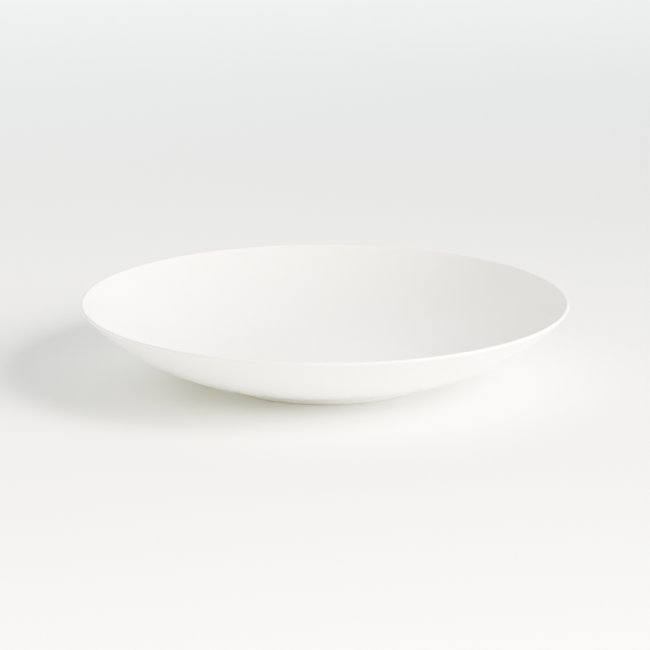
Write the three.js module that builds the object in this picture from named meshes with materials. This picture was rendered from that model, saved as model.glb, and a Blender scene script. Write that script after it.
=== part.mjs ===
// A low coupe bowl of white bone china: one fired body with a turned foot ring,
// under two areas of clear glaze. Millimetres, +Z up.
// The origin is the centre of the foot ring, on the surface that the bowl stands on.

import * as THREE from "three";

// Overall size of the bowl, measured over its glaze
const RIM_DIAMETER = 240;
const HEIGHT = 39;
const LIP_THICKNESS = 1.9;

// Fired body: both faces are level at the middle, and rise from there to the lip as one arc each
const BASE_THICKNESS = 3.2;
const UNDERSIDE_HEIGHT = 3.2; // of the base above the table, inside the foot ring
const OUTSIDE_RISE_INSET = 14; // from the foot's outer edge in to where the outside begins to rise
const INSIDE_RISE_INSET = 16; // from the foot's outer edge in to where the inside begins to rise

// Foot ring
const FOOT_DIAMETER = 108; // across its outer corners at the table
const FOOT_WIDTH = 3.6; // between its two corners at the table
const FOOT_OUTER_DRAFT = 6; // degrees off upright
const FOOT_INNER_DRAFT = 30; // degrees off upright
const FOOT_FILLET = 1.5; // where the ring grows out of the body, on both sides
const FOOT_EDGE_RADIUS = 1.5; // on both corners at the table

// Glaze
const GLAZE_THICKNESS = 0.2;
const GLAZE_LINE = 1.5; // height above the table where the glaze stops, so that the foot stays bare
const BOND_GAP = 0.02; // keeps the glaze and the body two solids

// Facets: steps round the axis, and along each kind of curve in the profile
const TURN_STEPS = 64;
const WALL_STEPS = 8;
const LIP_STEPS = 6;
const FILLET_STEPS = 3;
const EDGE_STEPS = 3;
const SAME_POINT = 1e-6; // points nearer than this are one

// Finishes
const BISCUIT = { color: 0xece8df, roughness: 0.6, metalness: 0 };
const CLEAR_GLAZE = { color: 0xf6f4f0, roughness: 0.12, metalness: 0 };

// Places that follow from the sizes above; a profile point is (radius, height)
const point = (radius, height) => new THREE.Vector2(radius, height);
const slope = (degrees) => Math.tan(THREE.MathUtils.degToRad(degrees));
const glazeBuild = BOND_GAP + GLAZE_THICKNESS;
const floorHeight = UNDERSIDE_HEIGHT + BASE_THICKNESS;
const footRadius = FOOT_DIAMETER / 2;
const lipCentre = point(RIM_DIAMETER / 2 - LIP_THICKNESS / 2, HEIGHT - LIP_THICKNESS / 2);
const lipRadius = LIP_THICKNESS / 2 - glazeBuild;
const underCentre = point(0, UNDERSIDE_HEIGHT);
const floorCentre = point(0, floorHeight);
const footOuterSide = (height) => point(footRadius + height * slope(FOOT_OUTER_DRAFT), height);
const footInnerSide = (height) => point(footRadius - FOOT_WIDTH - height * slope(FOOT_INNER_DRAFT), height);

// Points along an arc, from one angle to another, whichever way round that is
function arcPoints(centre, radius, from, to, steps) {
  const curve = new THREE.EllipseCurve(centre.x, centre.y, radius, radius, from, to, to < from);
  return curve.getPoints(steps);
}

// Runs of points joined into one line, without the point that two runs share
function chain(...runs) {
  const line = [];
  for (const next of runs.flat()) {
    const last = line.at(-1);
    if (!last || last.distanceTo(next) > SAME_POINT) line.push(next);
  }
  return line;
}

// The shorter arc about a centre, from one point to another
function arcBetween(centre, start, end, steps) {
  const from = start.clone().sub(centre);
  const to = end.clone().sub(centre);
  const turn = Math.atan2(from.cross(to), from.dot(to));
  return arcPoints(centre, from.length(), from.angle(), from.angle() + turn, steps);
}

// A rounded corner between two straight runs
function roundedCorner(before, corner, after, radius, steps) {
  const back = before.clone().sub(corner).normalize();
  const ahead = after.clone().sub(corner).normalize();
  const halfAngle = Math.acos(back.dot(ahead)) / 2;
  const reach = radius / Math.tan(halfAngle);
  const bisector = back.clone().add(ahead).normalize();
  const centre = corner.clone().addScaledVector(bisector, radius / Math.sin(halfAngle));
  const start = corner.clone().addScaledVector(back, reach);
  const end = corner.clone().addScaledVector(ahead, reach);
  return arcBetween(centre, start, end, steps);
}

// One face of the wall: the arc that leaves a level line and meets the lip's round edge without a corner.
// side is 1 for the outside of the wall and -1 for the inside.
function wallArc(startRadius, startHeight, side) {
  const across = lipCentre.x - startRadius;
  const up = lipCentre.y - startHeight;
  const radius = (across ** 2 + up ** 2 - lipRadius ** 2) / (2 * (up - side * lipRadius));
  const centre = point(startRadius, startHeight + radius);
  const endAngle = Math.atan2(up - radius, across);
  return { centre, radius, endAngle };
}

// The fillet where the foot's outer side runs into the outside of the wall
function footFillet(wall) {
  const corner = footOuterSide(0);
  const upward = footOuterSide(1).sub(corner).normalize();
  const outward = point(upward.y, -upward.x);
  const offset = corner.clone().addScaledVector(outward, FOOT_FILLET).sub(wall.centre);
  const along = offset.dot(upward);
  const apart = wall.radius + FOOT_FILLET;
  const travel = -along - Math.sqrt(along ** 2 - offset.lengthSq() + apart ** 2);
  const centre = wall.centre.clone().add(offset).addScaledVector(upward, travel);
  const onFoot = centre.clone().addScaledVector(outward, -FOOT_FILLET);
  const toWall = wall.centre.clone().sub(centre).normalize();
  const onWall = centre.clone().addScaledVector(toWall, FOOT_FILLET);
  return { centre, onFoot, onWall };
}

// The stretches of the body's outline, each running the way that keeps the china on its left
const outside = wallArc(footRadius - OUTSIDE_RISE_INSET, UNDERSIDE_HEIGHT, 1);
const inside = wallArc(footRadius - INSIDE_RISE_INSET, floorHeight, -1);
const fillet = footFillet(outside);
const filletEnd = fillet.onWall.clone().sub(outside.centre);
const filletEndAngle = Math.atan2(filletEnd.y, filletEnd.x);
const footInnerTop = footInnerSide(UNDERSIDE_HEIGHT);
const innerCorner = footInnerSide(0);
const outerCorner = footOuterSide(0);
const innerFilletRun = roundedCorner(underCentre, footInnerTop, innerCorner, FOOT_FILLET, FILLET_STEPS);
const innerEdgeRun = roundedCorner(footInnerTop, innerCorner, outerCorner, FOOT_EDGE_RADIUS, EDGE_STEPS);
const outerEdgeRun = roundedCorner(innerCorner, outerCorner, fillet.onFoot, FOOT_EDGE_RADIUS, EDGE_STEPS);
const outerFilletRun = arcBetween(fillet.centre, fillet.onFoot, fillet.onWall, FILLET_STEPS);
const outsideRun = arcPoints(outside.centre, outside.radius, filletEndAngle, outside.endAngle, WALL_STEPS);
const lipRun = arcPoints(lipCentre, lipRadius, outside.endAngle, inside.endAngle + Math.PI, LIP_STEPS);
const insideRun = arcPoints(inside.centre, inside.radius, inside.endAngle, -Math.PI / 2, WALL_STEPS);

// A line moved off the china by the same distance all along, with its corners mitred
function offsetLine(line, distance) {
  return line.map((here, i) => {
    const before = here.clone().sub(line[i - 1] ?? here).normalize();
    const after = (line[i + 1] ?? here).clone().sub(here).normalize();
    const normal = point(before.y + after.y, -before.x - after.x).normalize();
    const along = i > 0 ? before : after;
    const spread = normal.dot(point(along.y, -along.x));
    return here.clone().addScaledVector(normal, distance / spread);
  });
}

// The rounded edge of a glaze layer, from one of its faces to the other
function glazeEdge(start, end, outward) {
  const middle = start.clone().lerp(end, 0.5);
  const tip = middle.clone().addScaledVector(outward, start.distanceTo(end) / 2);
  return chain(arcBetween(middle, start, tip, EDGE_STEPS), arcBetween(middle, tip, end, EDGE_STEPS));
}

// A solid of revolution about the bowl's axis
function turned(name, profile, finish) {
  const geometry = new THREE.LatheGeometry(profile, TURN_STEPS).rotateX(Math.PI / 2);
  const mesh = new THREE.Mesh(geometry, new THREE.MeshStandardMaterial(finish));
  mesh.name = name;
  return mesh;
}

// The fired body, foot ring and all
function chinaBody() {
  const foot = chain([underCentre], innerFilletRun, innerEdgeRun, outerEdgeRun, outerFilletRun);
  const profile = chain(foot, outsideRun, lipRun, insideRun, [floorCentre]);
  return turned("china_body", profile, BISCUIT);
}

// The glaze over the outside, the lip and the inside, in one unbroken coat
function glazeCoat() {
  const edgeLine = footOuterSide(GLAZE_LINE);
  const covered = chain([edgeLine], outerFilletRun, outsideRun, lipRun, insideRun, [floorCentre]);
  const bonded = offsetLine(covered, BOND_GAP);
  const exposed = offsetLine(covered, glazeBuild);
  const downward = covered[0].clone().sub(covered[1]).normalize();
  const edge = glazeEdge(bonded[0], exposed[0], downward);
  return turned("glaze_coat", chain(bonded.reverse(), edge, exposed), CLEAR_GLAZE);
}

// The glaze under the base, inside the foot ring
function baseGlaze() {
  const covered = chain([underCentre], innerFilletRun, [footInnerSide(GLAZE_LINE)]);
  const bonded = offsetLine(covered, BOND_GAP);
  const exposed = offsetLine(covered, glazeBuild);
  const downward = covered.at(-1).clone().sub(covered.at(-2)).normalize();
  const edge = glazeEdge(exposed.at(-1), bonded.at(-1), downward);
  return turned("base_glaze", chain(exposed, edge, bonded.reverse()), CLEAR_GLAZE);
}

const bowl = new THREE.Group();
bowl.name = "low_bowl";
bowl.add(chinaBody(), glazeCoat(), baseGlaze());

export default bowl;
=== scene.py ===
"""A low coupe bowl of white bone china on a pale table, in soft light from the right."""

import math

import bpy
import numpy as np
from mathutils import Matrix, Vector


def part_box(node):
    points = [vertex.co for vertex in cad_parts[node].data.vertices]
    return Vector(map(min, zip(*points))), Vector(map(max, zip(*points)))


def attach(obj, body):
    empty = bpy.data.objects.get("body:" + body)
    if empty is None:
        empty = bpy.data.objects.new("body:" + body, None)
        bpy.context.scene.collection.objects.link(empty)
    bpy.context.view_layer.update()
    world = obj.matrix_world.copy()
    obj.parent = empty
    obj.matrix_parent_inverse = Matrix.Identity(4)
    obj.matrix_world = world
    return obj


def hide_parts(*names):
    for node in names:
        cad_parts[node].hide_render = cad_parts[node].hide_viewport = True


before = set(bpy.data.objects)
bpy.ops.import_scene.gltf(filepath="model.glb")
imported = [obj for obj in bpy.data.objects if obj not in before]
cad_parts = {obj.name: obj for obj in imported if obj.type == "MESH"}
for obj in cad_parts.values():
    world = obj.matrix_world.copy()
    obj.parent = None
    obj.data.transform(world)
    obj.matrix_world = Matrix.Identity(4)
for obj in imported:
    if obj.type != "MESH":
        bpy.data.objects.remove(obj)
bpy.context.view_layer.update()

# Sizes of the bowl in metres, as the CAD has them
MM = 0.001
MICRON = 0.001 * MM
LIP_THICKNESS = 1.9 * MM
BASE_THICKNESS = 3.2 * MM
UNDERSIDE_HEIGHT = 3.2 * MM
OUTSIDE_RISE_INSET = 14 * MM
INSIDE_RISE_INSET = 16 * MM
FOOT_DIAMETER = 108 * MM
FOOT_WIDTH = 3.6 * MM
FOOT_OUTER_DRAFT = math.radians(6)
FOOT_INNER_DRAFT = math.radians(30)
FOOT_FILLET = 1.5 * MM
FOOT_EDGE_RADIUS = 1.5 * MM
GLAZE_THICKNESS = 0.2 * MM
GLAZE_LINE = 1.5 * MM
BOND_GAP = 0.02 * MM
RIM_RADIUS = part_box("glaze_coat")[1].x
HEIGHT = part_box("glaze_coat")[1].z

# How the fired glaze departs from an even layer
LIP_THINNING = 0.06 * MM
LIP_THINNING_REACH = 3 * MM
POOL_DEPTH = 0.12 * MM
POOL_REACH = 1.6 * MM
BEAD_DEPTH = 0.06 * MM
BEAD_REACH = 0.35 * MM
LINE_WAVER = 0.14 * MM
LINE_WAVER_REACH = 1.2 * MM

# How far the rim sinks and draws in during firing, at most
RIM_SINK = 0.12 * MM
RIM_DRAW = 0.1 * MM

# Unevenness round the axis, as sine waves with a height, a count and a phase each
QUARTER_TURN = math.pi / 2
MEAN_WARP = 0.5
SINK_WAVES = [(0.5, 2, QUARTER_TURN + 0.6)]
DRAW_WAVES = [(0.3, 2, QUARTER_TURN - 0.9), (0.2, 3, QUARTER_TURN + 1.1)]
LINE_WAVES = [(0.4, 3, 0.7), (0.35, 7, 2.1), (0.25, 17, 4.0)]

# Steps of the fine mesh, round the axis and along each curve of the profile
TURN_STEPS = 384
WALL_STEPS = 56
LIP_STEPS = 18
FILLET_STEPS = 12
EDGE_STEPS = 6
LEVEL_STEPS = 8
SAME_POINT = 1e-6 * MM  # points nearer than this are one

# Noise: how much fine detail it has, and where a ramp over it starts and ends
SMOOTH_DETAIL = 2
CLOUDY_DETAIL = 3
GRAINY_DETAIL = 4
MOST_OF_NOISE = (0.3, 0.7)
UPPER_NOISE = (0.35, 0.7)
TOP_OF_NOISE = (0.55, 0.75)

# Glaze colour: a faint mottle, painted light that brightens the lip, and a cool pool in the foot's fillet
GLAZE_WHITE = (0.91, 0.888, 0.86, 1)
GLAZE_CREAM = (0.9, 0.875, 0.84, 1)
GLAZE_POOL = (0.85, 0.86, 0.83, 1)
# Painted light: the lip colour below is brighter than the glaze, standing in for the light the rim catches
GLAZE_LIP_PAINTED_LIGHT = (0.945, 0.925, 0.9, 1)
MOTTLE_SIZE = 28 * MM
LIP_PAINTED_LIGHT_DEPTH = 2.2 * MM  # from the top of the rim down
POOL_COLOUR_SHARE = 0.6
POOL_COLOUR_REACH = (0.5 * MM, 3.5 * MM)  # from the fillet, where it begins to fade and where it ends
POOL_COLOUR_HEIGHT = (4 * MM, 6 * MM)  # above the table, where it begins to fade and where it ends

# Glaze shine and relief
GLAZE_IOR = 1.52
GLAZE_ROUGHNESS = 0.15
GLAZE_ROUGHNESS_RANGE = (0.12, 0.17)
GLAZE_PATCH_SIZE = 17 * MM
WEAR_SIZE = 1.1 * MM
WEAR_ROUGHNESS = 0.03
PEEL_SIZE = 2.4 * MM
PEEL_MICRONS = 5
DRIFT_SIZE = 16 * MM
DRIFT_MICRONS = 24
RING_SPACING = 3.1 * MM
RING_MICRONS = 1.2
RING_WANDER_SIZE = 40 * MM
RING_WANDER = 9  # radians

# Bare china of the foot: its grain, and the wear where it stands
BISCUIT_WHITE = (0.86, 0.84, 0.79, 1)
BISCUIT_CREAM = (0.78, 0.74, 0.66, 1)
BISCUIT_WORN = (0.52, 0.5, 0.46, 1)
BISCUIT_IOR = 1.5
BISCUIT_ROUGHNESS = 0.6
BISCUIT_ROUGHNESS_RANGE = (0.55, 0.75)
GRAIN_SIZE = 0.35 * MM
GRAIN_MICRONS = 18
WORN_PATCH_SIZE = 9 * MM
WORN_HEIGHT = (0.05 * MM, 0.5 * MM)  # where the wear begins to fade and where it ends
WORN_SHARE = 0.7
WORN_SMOOTHING = 0.15

# Table
FLOOR_PALE = (0.9, 0.9, 0.9, 1)
FLOOR_HALF_WIDTH = 6
FLOOR_IOR = 1.5
FLOOR_ROUGHNESS = 0.7

# Camera, with its lens and sensor in millimetres
CAMERA_DISTANCE = 1.5
CAMERA_ELEVATION = math.radians(14.55)
CAMERA_AIM = Vector((0, 0, 25.75 * MM))
CAMERA_LENS = 168.6
SENSOR_WIDTH = 36

# Light of the room, and what the lights aim at
ROOM_GREY = (0.455, 0.455, 0.455, 1)
BOWL_MIDDLE = (0, 0, 20 * MM)
TABLE_IN_FRONT = (0, -0.3, 0)

# Places in the profile that follow from the sizes; a profile point is a complex number, radius + height * j
glaze_build = BOND_GAP + GLAZE_THICKNESS
floor_height = UNDERSIDE_HEIGHT + BASE_THICKNESS
foot_radius = FOOT_DIAMETER / 2
lip_centre = complex(RIM_RADIUS - LIP_THICKNESS / 2, HEIGHT - LIP_THICKNESS / 2)
lip_radius = LIP_THICKNESS / 2 - glaze_build
under_centre = complex(0, UNDERSIDE_HEIGHT)
floor_centre = complex(0, floor_height)


def foot_outer_side(height):
    return complex(foot_radius + height * math.tan(FOOT_OUTER_DRAFT), height)


def foot_inner_side(height):
    return complex(foot_radius - FOOT_WIDTH - height * math.tan(FOOT_INNER_DRAFT), height)


def unit(vector):
    return vector / abs(vector)


def angle_of(vector):
    return math.atan2(vector.imag, vector.real)


def arc(centre, radius, start, end, steps):
    """Points along an arc, from one angle to another."""
    return centre + radius * np.exp(1j * np.linspace(start, end, steps + 1))


def arc_between(centre, start, end, steps):
    """The shorter arc about a centre, from one point to another."""
    turn = angle_of((end - centre) / (start - centre))
    first = angle_of(start - centre)
    return arc(centre, abs(start - centre), first, first + turn, steps)


def level(start, end):
    """Points along a straight run."""
    return np.linspace(start, end, LEVEL_STEPS + 1)


def rounded_corner(before, corner, after, radius, steps):
    """A rounded corner between two straight runs."""
    back = unit(before - corner)
    ahead = unit(after - corner)
    half = abs(angle_of(back / ahead)) / 2
    reach = radius / math.tan(half)
    centre = corner + unit(back + ahead) * radius / math.sin(half)
    return arc_between(centre, corner + back * reach, corner + ahead * reach, steps)


def wall_arc(start_radius, start_height, side):
    """Centre, radius and end angle of one face of the wall; side is 1 outside and -1 inside."""
    reach = lip_centre - complex(start_radius, start_height)
    radius = (abs(reach) ** 2 - lip_radius**2) / (2 * (reach.imag - side * lip_radius))
    centre = complex(start_radius, start_height + radius)
    return centre, radius, angle_of(lip_centre - centre)


def foot_fillet(wall_centre, wall_radius):
    """The arc where the foot's outer side runs into the outside of the wall."""
    corner = foot_outer_side(0)
    upward = unit(foot_outer_side(1) - corner)
    outward = upward * -1j
    offset = corner + outward * FOOT_FILLET - wall_centre
    along = (offset * upward.conjugate()).real
    apart = wall_radius + FOOT_FILLET
    travel = -along - math.sqrt(along**2 - abs(offset) ** 2 + apart**2)
    centre = wall_centre + offset + upward * travel
    on_foot = centre - outward * FOOT_FILLET
    on_wall = centre + unit(wall_centre - centre) * FOOT_FILLET
    return arc_between(centre, on_foot, on_wall, FILLET_STEPS)


def chain(*runs):
    """Runs of points as one line, without the points that two runs share."""
    line = np.concatenate([np.atleast_1d(run) for run in runs])
    fresh = np.append(True, np.abs(np.diff(line)) > SAME_POINT)
    return line[fresh]


def offset_line(line, distance):
    """A line moved off the china by a distance, which may change along it."""
    tangent = np.gradient(line)
    normal = -1j * tangent / np.abs(tangent)
    return line + normal * distance


# The stretches of the body's outline, each running the way that keeps the china on its left
outside_rise = foot_radius - OUTSIDE_RISE_INSET
inside_rise = foot_radius - INSIDE_RISE_INSET
outside_centre, outside_radius, outside_end = wall_arc(outside_rise, UNDERSIDE_HEIGHT, 1)
inside_centre, inside_radius, inside_end = wall_arc(inside_rise, floor_height, -1)
outer_fillet = foot_fillet(outside_centre, outside_radius)
outside_start = angle_of(outer_fillet[-1] - outside_centre)
foot_inner_top = foot_inner_side(UNDERSIDE_HEIGHT)
inner_corner = foot_inner_side(0)
outer_corner = foot_outer_side(0)
inner_fillet = rounded_corner(under_centre, foot_inner_top, inner_corner, FOOT_FILLET, FILLET_STEPS)
inner_edge = rounded_corner(foot_inner_top, inner_corner, outer_corner, FOOT_EDGE_RADIUS, EDGE_STEPS)
outer_edge = rounded_corner(inner_corner, outer_corner, outer_fillet[0], FOOT_EDGE_RADIUS, EDGE_STEPS)
outside = arc(outside_centre, outside_radius, outside_start, outside_end, WALL_STEPS)
lip = arc(lip_centre, lip_radius, outside_end, inside_end + math.pi, LIP_STEPS)
inside = arc(inside_centre, inside_radius, inside_end, -QUARTER_TURN, WALL_STEPS)
underside = level(under_centre, inner_fillet[0])
floor = level(inside[-1], floor_centre)
outer_glaze_start = level(foot_outer_side(GLAZE_LINE), outer_fillet[0])
inner_glaze_end = level(inner_fillet[-1], foot_inner_side(GLAZE_LINE))


def waves(angle, terms):
    """The sum of sine waves round the axis, at an angle."""
    return sum(height * np.sin(count * angle + phase) for height, count, phase in terms)


def fired(radius, angle, height):
    """A point of the turned shape after firing: away from the foot the rim sinks and draws in a little."""
    share = np.clip((radius - foot_radius) / (RIM_RADIUS - foot_radius), 0, 1) ** 2
    sink = RIM_SINK * share * (MEAN_WARP + waves(angle, SINK_WAVES))
    draw = RIM_DRAW * share * (MEAN_WARP + waves(angle, DRAW_WAVES))
    return (radius - draw) * np.cos(angle), (radius - draw) * np.sin(angle), height - sink


def new_object(name, data):
    made = bpy.data.objects.new(name, data)
    bpy.context.scene.collection.objects.link(made)
    return made


def turned(name, line, shift=None):
    """A mesh of revolution of a line that starts and ends on the axis.

    shift says how far each point of the line goes with the waver of the glaze line.
    """
    angles = np.linspace(0, 2 * math.pi, TURN_STEPS, endpoint=False)
    if shift is None:
        shift = np.zeros(len(line), complex)
    waver = LINE_WAVER * waves(angles, LINE_WAVES)
    corners = [(0, 0, line[0].imag)]
    for point, point_shift in zip(line[1:-1], shift[1:-1]):
        moved = point + point_shift * waver
        corners += zip(*fired(moved.real, angles, moved.imag))
    corners.append((0, 0, line[-1].imag))
    last = len(corners) - 1
    last_ring = last - TURN_STEPS
    faces = []
    for k in range(TURN_STEPS):
        after = (k + 1) % TURN_STEPS
        faces.append((0, 1 + after, 1 + k))
        for ring in range(1, last_ring, TURN_STEPS):
            next_ring = ring + TURN_STEPS
            faces.append((ring + k, ring + after, next_ring + after, next_ring + k))
        faces.append((last_ring + k, last_ring + after, last))
    mesh = bpy.data.meshes.new(name)
    mesh.from_pydata(corners, [], faces)
    mesh.shade_smooth()
    return new_object(name, mesh)


def bell(distance, reach):
    """A smooth bump: 1 at no distance, and almost nothing past twice its reach."""
    return np.exp(-((distance / reach) ** 2))


def glaze_depth(line, fillet, edge):
    """Depth of the fired glaze along a line: thin on the lip, pooled in the fillet, beaded along its edge."""
    thin = LIP_THINNING * bell(np.abs(line - lip_centre), LIP_THINNING_REACH)
    pool = POOL_DEPTH * bell(np.abs(line - fillet[len(fillet) // 2]), POOL_REACH)
    bead = BEAD_DEPTH * bell(np.abs(line - edge), BEAD_REACH)
    return GLAZE_THICKNESS - thin + pool + bead


def waver_share(line, edge, along):
    """How much of the glaze line's waver each point of a line takes, along the foot's side."""
    near = np.clip(1 - np.abs(line - edge) / LINE_WAVER_REACH, 0, 1)
    return along * near**2 * (3 - 2 * near)


def glaze_edge(start, end, outward):
    """The rounded edge of a glaze layer, from one of its faces to the other."""
    middle = (start + end) / 2
    tip = middle + outward * abs(end - start) / 2
    return chain(arc_between(middle, start, tip, EDGE_STEPS), arc_between(middle, tip, end, EDGE_STEPS))


def china_body():
    """The fired body, foot ring and all."""
    foot = chain(underside, inner_fillet, inner_edge, outer_edge, outer_fillet)
    return turned("body", chain(foot, outside, lip, inside, floor))


def glaze_coat():
    """The glaze over the outside, the lip and the inside, in one unbroken coat."""
    covered = chain(outer_glaze_start, outer_fillet, outside, lip, inside, floor)
    along = unit(covered[1] - covered[0])
    bonded = offset_line(covered, BOND_GAP)
    exposed = offset_line(covered, BOND_GAP + glaze_depth(covered, outer_fillet, covered[0]))
    line = chain(bonded[::-1], glaze_edge(bonded[0], exposed[0], -along), exposed)
    return turned("glaze", line, waver_share(line, covered[0], along))


def base_glaze():
    """The glaze under the base, inside the foot ring."""
    covered = chain(underside, inner_fillet, inner_glaze_end)
    along = unit(covered[-2] - covered[-1])
    bonded = offset_line(covered, BOND_GAP)
    exposed = offset_line(covered, BOND_GAP + glaze_depth(covered, inner_fillet, covered[-1]))
    line = chain(exposed, glaze_edge(exposed[-1], bonded[-1], -along), bonded[::-1])
    return turned("underglaze", line, waver_share(line, covered[-1], along))


def new_material(name, roughness, ior):
    material = bpy.data.materials.new(name)
    material.use_nodes = True
    shader = material.node_tree.nodes["Principled BSDF"]
    shader.inputs["Roughness"].default_value = roughness
    shader.inputs["IOR"].default_value = ior
    return material, material.node_tree, shader


def feed(tree, socket, value):
    """Gives a socket a value, or links it to the socket that feeds it."""
    if isinstance(value, bpy.types.NodeSocket):
        tree.links.new(value, socket)
    else:
        socket.default_value = value


def add(tree, kind, inputs, **settings):
    """The first output of a new node with its settings, and with each input given as a value or a socket."""
    node = tree.nodes.new(kind)
    for name, value in settings.items():
        setattr(node, name, value)
    for name, value in inputs.items():
        feed(tree, node.inputs[name], value)
    return node.outputs[0]


def maths(tree, operation, first, second=0.0):
    return add(tree, "ShaderNodeMath", {0: first, 1: second}, operation=operation)


def ramp(tree, value, start, end, low=0.0, high=1.0):
    """A value carried smoothly from low to high, between two places of its own range."""
    sockets = {"Value": value, "From Min": start, "From Max": end, "To Min": low, "To Max": high}
    return add(tree, "ShaderNodeMapRange", sockets, interpolation_type="SMOOTHSTEP")


def noise(tree, place, size, detail=SMOOTH_DETAIL):
    """Noise from 0 to 1 with features about this size across."""
    return add(tree, "ShaderNodeTexNoise", {"Vector": place, "Scale": 1 / size, "Detail": detail})


def blend(tree, share, first, second):
    """A colour between two colours, each a value or a socket."""
    node = tree.nodes.new("ShaderNodeMix")
    node.data_type = "RGBA"
    share_socket, first_socket, second_socket = node.inputs[0], node.inputs[6], node.inputs[7]
    feed(tree, share_socket, share)
    feed(tree, first_socket, first)
    feed(tree, second_socket, second)
    return node.outputs[2]


def places(tree):
    """Sockets with a point of the bowl, its distance from the axis and its height."""
    point = tree.nodes.new("ShaderNodeTexCoord").outputs["Object"]
    flat = add(tree, "ShaderNodeVectorMath", {0: point, 1: (1, 1, 0)}, operation="MULTIPLY")
    length = tree.nodes.new("ShaderNodeVectorMath")
    length.operation = "LENGTH"
    tree.links.new(flat, length.inputs[0])
    split = tree.nodes.new("ShaderNodeSeparateXYZ")
    tree.links.new(point, split.inputs[0])
    return point, length.outputs["Value"], split.outputs["Z"]


def raise_surface(tree, shader, microns):
    bump = add(tree, "ShaderNodeBump", {"Height": microns, "Distance": MICRON})
    tree.links.new(bump, shader.inputs["Normal"])


def glaze_colour(tree, point, radius, height):
    """Glaze over white china: painted light makes the lip brighter, and it is cool where it pools in the
    foot's fillet.
    """
    mottle = ramp(tree, noise(tree, point, MOTTLE_SIZE, CLOUDY_DETAIL), *MOST_OF_NOISE)
    cloud = blend(tree, mottle, GLAZE_CREAM, GLAZE_WHITE)
    off_fillet = maths(tree, "ABSOLUTE", maths(tree, "SUBTRACT", radius, outer_fillet[-1].real))
    by_fillet = ramp(tree, off_fillet, *POOL_COLOUR_REACH, 1, 0)
    below_wall = ramp(tree, height, *POOL_COLOUR_HEIGHT, 1, 0)
    pool_share = maths(tree, "MULTIPLY", by_fillet, below_wall)
    pooled = blend(tree, maths(tree, "MULTIPLY", pool_share, POOL_COLOUR_SHARE), cloud, GLAZE_POOL)
    # Painted light: the top of the rim is coloured brighter, as if lit
    painted_lip_light_share = ramp(tree, height, HEIGHT - LIP_PAINTED_LIGHT_DEPTH, HEIGHT)
    return blend(tree, painted_lip_light_share, pooled, GLAZE_LIP_PAINTED_LIGHT)


def glaze_roughness(tree, point):
    """Broad patches that shine a little more or less, with fine marks of use over them."""
    patches = ramp(tree, noise(tree, point, GLAZE_PATCH_SIZE), *MOST_OF_NOISE, *GLAZE_ROUGHNESS_RANGE)
    marks = ramp(tree, noise(tree, point, WEAR_SIZE, GRAINY_DETAIL), *TOP_OF_NOISE)
    return maths(tree, "ADD", patches, maths(tree, "MULTIPLY", marks, WEAR_ROUGHNESS))


def glaze_relief(tree, point, radius):
    """Height of the glaze in microns: a fine peel, a slow drift and faint turning rings."""
    peel = maths(tree, "MULTIPLY", noise(tree, point, PEEL_SIZE), PEEL_MICRONS)
    drift = maths(tree, "MULTIPLY", noise(tree, point, DRIFT_SIZE), DRIFT_MICRONS)
    phase = maths(tree, "MULTIPLY", radius, 2 * math.pi / RING_SPACING)
    wander = maths(tree, "MULTIPLY", noise(tree, point, RING_WANDER_SIZE), RING_WANDER)
    wave = maths(tree, "SINE", maths(tree, "ADD", phase, wander))
    rings = maths(tree, "MULTIPLY", wave, RING_MICRONS)
    return maths(tree, "ADD", maths(tree, "ADD", peel, drift), rings)


def glaze_material():
    """Clear, glossy glaze over white china."""
    material, tree, shader = new_material("glaze", GLAZE_ROUGHNESS, GLAZE_IOR)
    point, radius, height = places(tree)
    tree.links.new(glaze_colour(tree, point, radius, height), shader.inputs["Base Color"])
    tree.links.new(glaze_roughness(tree, point), shader.inputs["Roughness"])
    raise_surface(tree, shader, glaze_relief(tree, point, radius))
    return material


def biscuit_material():
    """Bare fired china: a matt creamy grain, ground smooth and a little grey where the foot stands."""
    material, tree, shader = new_material("biscuit", BISCUIT_ROUGHNESS, BISCUIT_IOR)
    point, _, height = places(tree)
    grain = noise(tree, point, GRAIN_SIZE, GRAINY_DETAIL)
    clean = blend(tree, ramp(tree, grain, *UPPER_NOISE), BISCUIT_CREAM, BISCUIT_WHITE)
    patch = ramp(tree, noise(tree, point, WORN_PATCH_SIZE, CLOUDY_DETAIL), *UPPER_NOISE)
    standing = ramp(tree, height, *WORN_HEIGHT, 1, 0)
    worn_share = maths(tree, "MULTIPLY", maths(tree, "MULTIPLY", standing, patch), WORN_SHARE)
    tree.links.new(blend(tree, worn_share, clean, BISCUIT_WORN), shader.inputs["Base Color"])
    rough = ramp(tree, grain, *MOST_OF_NOISE, *BISCUIT_ROUGHNESS_RANGE)
    ground = maths(tree, "MULTIPLY", standing, WORN_SMOOTHING)
    tree.links.new(maths(tree, "SUBTRACT", rough, ground), shader.inputs["Roughness"])
    raise_surface(tree, shader, maths(tree, "MULTIPLY", grain, GRAIN_MICRONS))
    return material


def floor_material():
    material, _, shader = new_material("floor", FLOOR_ROUGHNESS, FLOOR_IOR)
    shader.inputs["Base Color"].default_value = FLOOR_PALE
    return material


def floor_stage():
    half = FLOOR_HALF_WIDTH
    corners = [(-half, -half, 0), (half, -half, 0), (half, half, 0), (-half, half, 0)]
    mesh = bpy.data.meshes.new("floor")
    mesh.from_pydata(corners, [], [(0, 1, 2, 3)])
    mesh.materials.append(floor_material())
    stage = new_object("floor", mesh)


def look_along(thing, direction):
    """Turns a camera or a light to face along a direction."""
    thing.rotation_mode = "QUATERNION"
    thing.rotation_quaternion = direction.to_track_quat("-Z", "Y")


def camera():
    data = bpy.data.cameras.new("camera")
    data.lens = CAMERA_LENS
    data.sensor_width = SENSOR_WIDTH
    back = Vector((0, -math.cos(CAMERA_ELEVATION), math.sin(CAMERA_ELEVATION)))
    viewer = new_object("camera", data)
    viewer.location = CAMERA_AIM + back * CAMERA_DISTANCE
    look_along(viewer, -back)
    bpy.context.scene.camera = viewer


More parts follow.
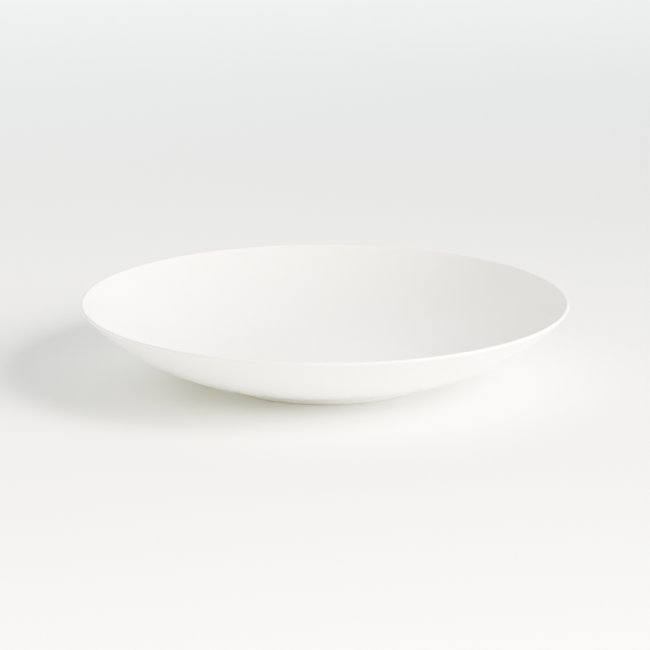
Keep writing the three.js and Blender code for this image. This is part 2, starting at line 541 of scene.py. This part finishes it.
def softbox(name, place, aim, width, depth, watts, colour, spread=180, mirrored=True):
    """A rectangular light; one that isn't mirrored lights the table without showing in the glaze."""
    data = bpy.data.lights.new(name, "AREA")
    data.shape = "RECTANGLE"
    data.size = width
    data.size_y = depth
    data.energy = watts
    data.color = colour
    data.spread = math.radians(spread)
    box = new_object(name, data)
    box.location = place
    look_along(box, Vector(aim) - Vector(place))
    box.visible_camera = False
    box.visible_glossy = mirrored


def table_panel(name, x, y, height, width, depth, watts, colour, spread=180):
    """A light that hangs over the table and shines straight down on it."""
    softbox(name, (x, y, height), (x, y, 0), width, depth, watts, colour, spread, mirrored=False)


def around(azimuth, elevation, distance):
    """A place around the bowl: azimuth 0 is to its right and 90 behind it, in degrees."""
    a = math.radians(azimuth)
    e = math.radians(elevation)
    level_distance = distance * math.cos(e)
    return level_distance * math.cos(a), level_distance * math.sin(a), distance * math.sin(e)


def room():
    world = bpy.data.worlds.new("world")
    world.use_nodes = True
    world.node_tree.nodes["Background"].inputs["Color"].default_value = ROOM_GREY
    bpy.context.scene.world = world


def lights():
    """Two lights at the right, a fill at the left, one behind, and two panels over the table."""
    softbox(
        "key", place=around(-30, 30, 1.7), aim=TABLE_IN_FRONT, width=1.05, depth=1.05,
        watts=12.9, colour=(1, 0.93, 0.88), spread=50,
    )
    softbox(
        "side", place=around(-20, 12, 2.8), aim=BOWL_MIDDLE, width=2.8, depth=1.0,
        watts=132, colour=(0.97, 1, 0.77),
    )
    softbox(
        "fill", place=around(178, 12, 2.7), aim=BOWL_MIDDLE, width=3.2, depth=1.0,
        watts=54, colour=(0.94, 1, 0.65),
    )
    table_panel(
        "front", x=-0.25, y=-0.56, height=0.6, width=1.6, depth=0.2,
        watts=3.25, colour=(0.97, 1, 0.86), spread=70,
    )
    table_panel(
        "rear", x=-0.45, y=1.5, height=0.9, width=2.4, depth=0.5,
        watts=35, colour=(0.81, 0.925, 0.97),
    )
    softbox(
        "back", place=around(90, 24, 2.6), aim=BOWL_MIDDLE, width=4.0, depth=1.8,
        watts=14.5, colour=(0.97, 0.94, 1),
    )


def dress(piece, node, material):
    """Gives a piece its material, hangs it on the root body, and hides the CAD node it stands for."""
    piece.data.materials.append(material)
    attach(piece, "root")
    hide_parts(node)


glaze = glaze_material()
biscuit = biscuit_material()
dress(china_body(), "china_body", biscuit)
dress(glaze_coat(), "glaze_coat", glaze)
dress(base_glaze(), "base_glaze", glaze)
floor_stage()
camera()
room()
lights()
bpy.context.scene.view_settings.view_transform = "AgX"
bpy.context.scene.view_settings.look = "AgX - High Contrast"

bpy.context.view_layer.update()
